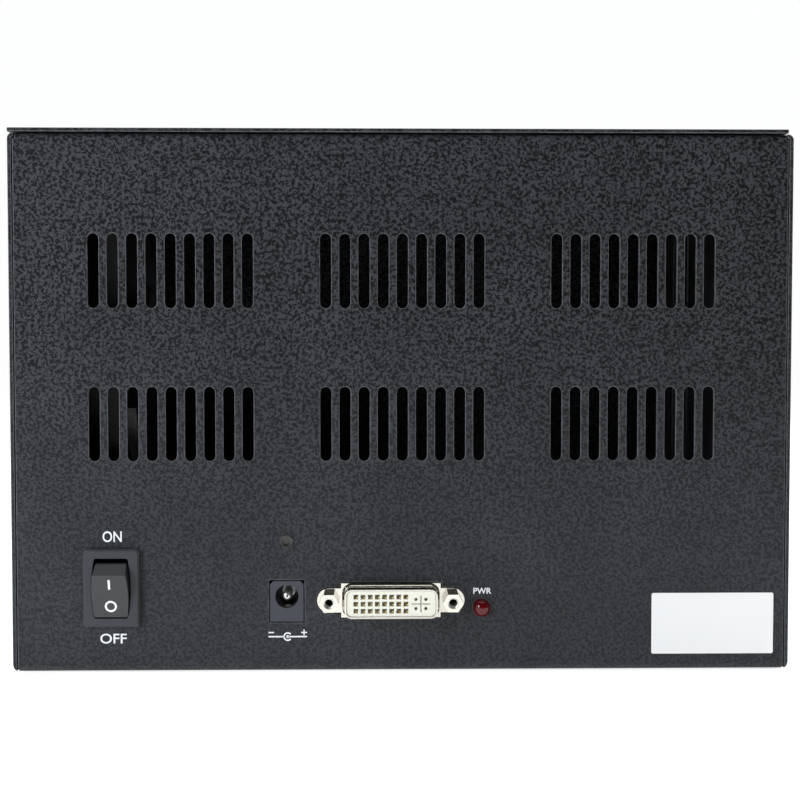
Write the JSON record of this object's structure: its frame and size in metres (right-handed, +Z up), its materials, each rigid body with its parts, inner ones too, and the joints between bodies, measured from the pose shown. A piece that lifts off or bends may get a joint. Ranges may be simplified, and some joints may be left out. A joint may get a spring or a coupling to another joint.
{
  "type": "pcie_expansion_chassis",
  "caption": "Compact folded-steel expansion chassis: slotted panel, lift-off cover, case fan, rocker switch, barrel power jack, link receptacle and card sockets.",
  "frame": {"origin": "centre of the flat underside of the base", "axes": "+X to the right of the connector panel, towards the card end; -Y out of the connector panel; +Z up"},
  "size_m": [0.2118, 0.1236, 0.146],
  "materials": {
    "case_paint": "mottled black powder coat, low sheen",
    "zinc_steel": "bright zinc plate",
    "nickel": "satin nickel plate",
    "brass": "machined",
    "black_plastic": "satin moulded",
    "switch_plastic": "fine matt moulded",
    "rocker_plastic": "fine matt moulded",
    "cream_plastic": "satin moulded",
    "board_green": "solder mask over glass fibre",
    "copper_coil": "enamelled winding",
    "can_sleeve": "bare drawn can",
    "sink_aluminium": "anodised",
    "chip_black": "moulded epoxy",
    "ferrite_grey": "moulded powder",
    "magnet_rubber": "bonded ferrite strip",
    "lamp_red": "tinted clear epoxy",
    "wire_red": "PVC insulation",
    "wire_yellow": "PVC insulation",
    "tin": "tinned",
    "screw_black": "black oxide"
  },
  "bodies": {
    "chassis": {"chassis_tray": "case_paint", "cover_nuts": "zinc_steel", "card_frame": "zinc_steel", "slot_screws": "zinc_steel", "fan_frame": "black_plastic", "fan_bearing": "brass", "fan_stator": "copper_coil", "fan_screws": "screw_black", "backplane_board": "board_green", "board_standoffs": "brass", "board_screws": "zinc_steel", "bridge_chip": "chip_black", "bridge_heatsink": "sink_aluminium", "capacitors": "can_sleeve", "power_inductors": "ferrite_grey", "regulators": "chip_black", "link_shell": "nickel", "link_insulator": "cream_plastic", "link_jackscrews": "nickel", "power_jack": "black_plastic", "power_jack_pin": "nickel", "power_jack_spring": "nickel", "power_lamp": "lamp_red", "lamp_leads": "tin", "switch_body": "switch_plastic", "switch_terminals": "brass", "switch_header": "cream_plastic", "switch_wires": "wire_red", "fan_header": "cream_plastic", "fan_wires": "wire_yellow", "earth_stud": "case_paint", "earth_nut": "zinc_steel", "slot_cover_1": "zinc_steel", "card_socket_1": "black_plastic", "slot_cover_2": "zinc_steel", "card_socket_2": "black_plastic", "slot_cover_3": "zinc_steel", "card_socket_3": "black_plastic", "slot_cover_4": "zinc_steel", "card_socket_4": "black_plastic"},
    "cover": {"cover": "case_paint", "cover_screws": "screw_black"},
    "rocker": {"switch_rocker": "rocker_plastic"},
    "rotor": {"fan_rotor": "black_plastic", "fan_magnet": "magnet_rubber", "fan_shaft": "zinc_steel"}
  },
  "joints": [
    {"name": "cover_lift", "type": "slide", "parent": "chassis", "child": "cover", "axis": [0, 0, 1], "range_m": [0, 0.16]},
    {"name": "power_rocker", "type": "hinge", "parent": "chassis", "child": "rocker", "pos_m": [-0.0782, -0.05546, 0.023], "axis": [-1, 0, 0], "range_deg": [0, 30]},
    {"name": "fan_spin", "type": "hinge", "parent": "chassis", "child": "rotor", "pos_m": [-0.09, 0, 0.086], "axis": [1, 0, 0], "continuous": true}
  ]
}
